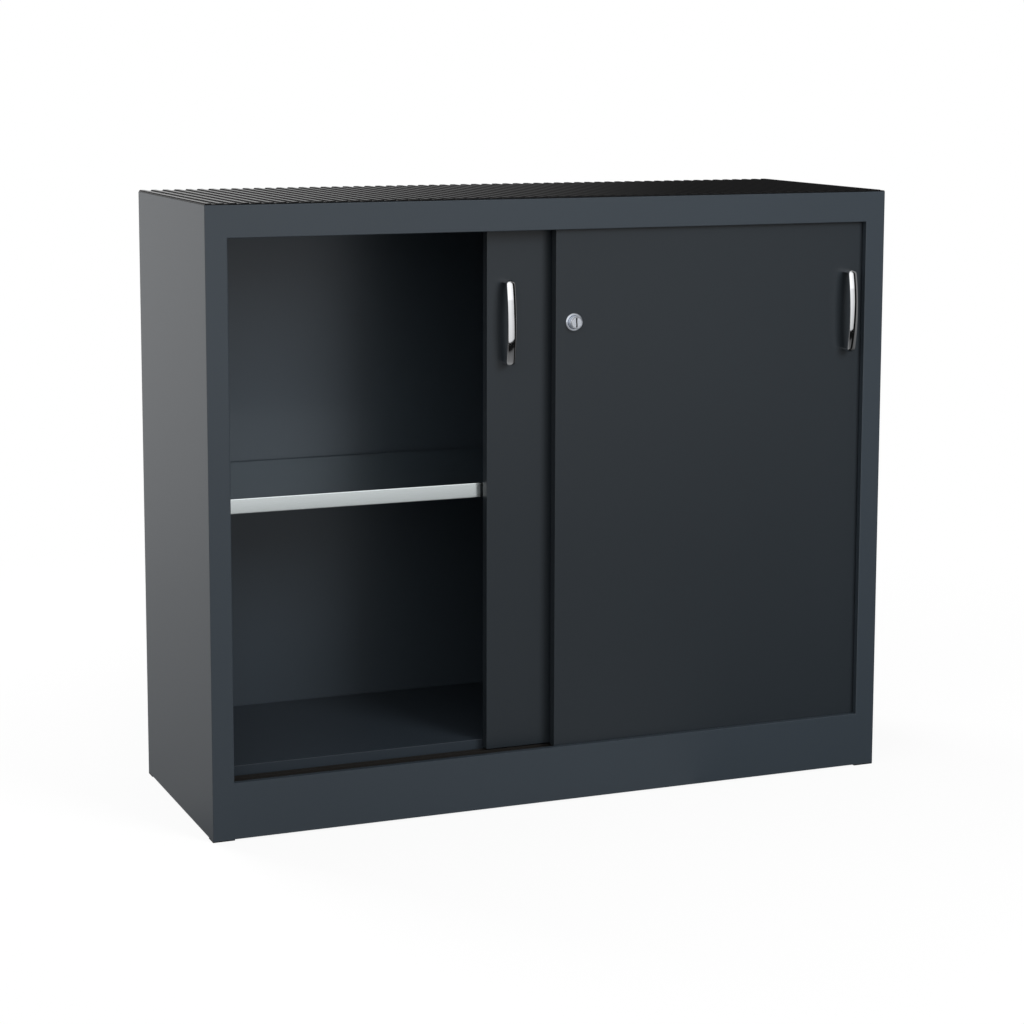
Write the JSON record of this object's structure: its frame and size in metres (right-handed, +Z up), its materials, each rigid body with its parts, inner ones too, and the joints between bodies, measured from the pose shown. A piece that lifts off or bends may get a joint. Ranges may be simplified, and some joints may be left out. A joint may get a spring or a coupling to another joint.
{
  "type": "sliding-door workshop cabinet",
  "caption": "Low sheet-steel cabinet with sliding doors on a double track, a push lock, bow handles, an inner shelf and a ribbed rubber top.",
  "frame": {"origin": "on the floor, under the middle of the whole object, the right door's handle included", "axes": "+X along the width to the viewer's right, -Y out of the front, +Z up"},
  "size_m": [1.2, 0.4376, 1.013],
  "materials": {
    "anthracite_paint": "satin powder coat",
    "door_paint": "satin powder coat",
    "galvanised_steel": "satin galvanised sheet",
    "zinc_plated_steel": "bright zinc plate",
    "mill_aluminium": "mill finish",
    "chrome": "polished",
    "satin_nickel": "satin nickel plate",
    "black_plastic": "matt",
    "white_nylon": "matt",
    "black_rubber": "matt"
  },
  "bodies": {
    "cabinet": {"left_side_panel": "anthracite_paint", "right_side_panel": "anthracite_paint", "top_panel": "anthracite_paint", "back_panel": "anthracite_paint", "floor_panel": "anthracite_paint", "plinth_rail": "anthracite_paint", "top_track": "mill_aluminium", "bottom_track": "black_plastic", "rubber_mat": "black_rubber", "shelf": "galvanised_steel", "front_left_upright": "anthracite_paint", "rear_left_upright": "anthracite_paint", "front_right_upright": "anthracite_paint", "rear_right_upright": "anthracite_paint", "front_left_shelf_clip": "zinc_plated_steel", "rear_left_shelf_clip": "zinc_plated_steel", "front_right_shelf_clip": "zinc_plated_steel", "rear_right_shelf_clip": "zinc_plated_steel", "front_left_corner_glide": "black_plastic", "rear_left_corner_glide": "black_plastic", "front_right_corner_glide": "black_plastic", "rear_right_corner_glide": "black_plastic", "front_lane_left_stop": "black_rubber", "front_lane_right_stop": "black_rubber", "rear_lane_left_stop": "black_rubber", "rear_lane_right_stop": "black_rubber"},
    "left_door": {"left_door_panel": "door_paint", "left_door_back_plate": "door_paint", "left_door_handle": "chrome", "left_door_handle_lower_screw": "zinc_plated_steel", "left_door_handle_upper_screw": "zinc_plated_steel", "left_door_left_hanger": "zinc_plated_steel", "left_door_right_hanger": "zinc_plated_steel", "left_door_left_axle": "zinc_plated_steel", "left_door_right_axle": "zinc_plated_steel", "left_door_left_guide": "black_plastic", "left_door_right_guide": "black_plastic"},
    "left_door_left_wheel": {"left_door_left_roller": "white_nylon"},
    "left_door_right_wheel": {"left_door_right_roller": "white_nylon"},
    "right_door": {"right_door_panel": "door_paint", "right_door_back_plate": "door_paint", "right_door_handle": "chrome", "right_door_handle_lower_screw": "zinc_plated_steel", "right_door_handle_upper_screw": "zinc_plated_steel", "right_door_left_hanger": "zinc_plated_steel", "right_door_right_hanger": "zinc_plated_steel", "right_door_left_axle": "zinc_plated_steel", "right_door_right_axle": "zinc_plated_steel", "right_door_left_guide": "black_plastic", "right_door_right_guide": "black_plastic", "lock_housing": "satin_nickel", "lock_nut": "zinc_plated_steel"},
    "right_door_left_wheel": {"right_door_left_roller": "white_nylon"},
    "right_door_right_wheel": {"right_door_right_roller": "white_nylon"},
    "lock_plunger": {"lock_barrel": "satin_nickel"},
    "lock_cylinder": {"lock_core": "satin_nickel"}
  },
  "joints": [
    {"name": "left_door_slide", "type": "slide", "parent": "cabinet", "child": "left_door", "axis": [1, 0, 0], "range_m": [-0.449, 0]},
    {"name": "right_door_slide", "type": "slide", "parent": "cabinet", "child": "right_door", "axis": [1, 0, 0], "range_m": [-0.065, 0]},
    {"name": "left_door_left_roller_spin", "type": "hinge", "parent": "left_door", "child": "left_door_left_wheel", "pos_m": [-0.049, -0.15325, 0.9868], "axis": [0, 1, 0], "range_deg": [-2451, 0]},
    {"name": "left_door_right_roller_spin", "type": "hinge", "parent": "left_door", "child": "left_door_right_wheel", "pos_m": [0.387, -0.15325, 0.9868], "axis": [0, 1, 0], "range_deg": [-2451, 0]},
    {"name": "right_door_left_roller_spin", "type": "hinge", "parent": "right_door", "child": "right_door_left_wheel", "pos_m": [0.062, -0.17925, 0.9868], "axis": [0, 1, 0], "range_deg": [-355, 0]},
    {"name": "right_door_right_roller_spin", "type": "hinge", "parent": "right_door", "child": "right_door_right_wheel", "pos_m": [0.498, -0.17925, 0.9868], "axis": [0, 1, 0], "range_deg": [-355, 0]},
    {"name": "lock_push", "type": "slide", "parent": "right_door", "child": "lock_plunger", "axis": [0, 1, 0], "range_m": [0, 0.0075], "stiffness_N_per_m": 300},
    {"name": "lock_turn", "type": "hinge", "parent": "lock_plunger", "child": "lock_cylinder", "pos_m": [0.0243, -0.20045, 0.8056], "axis": [0, 1, 0], "range_deg": [0, 90]}
  ],
  "couplings": [
    {"joint": "left_door_left_roller_spin", "follows": "left_door_slide", "rad_per_m": 95.238},
    {"joint": "left_door_right_roller_spin", "follows": "left_door_slide", "rad_per_m": 95.238},
    {"joint": "right_door_left_roller_spin", "follows": "right_door_slide", "rad_per_m": 95.238},
    {"joint": "right_door_right_roller_spin", "follows": "right_door_slide", "rad_per_m": 95.238}
  ]
}
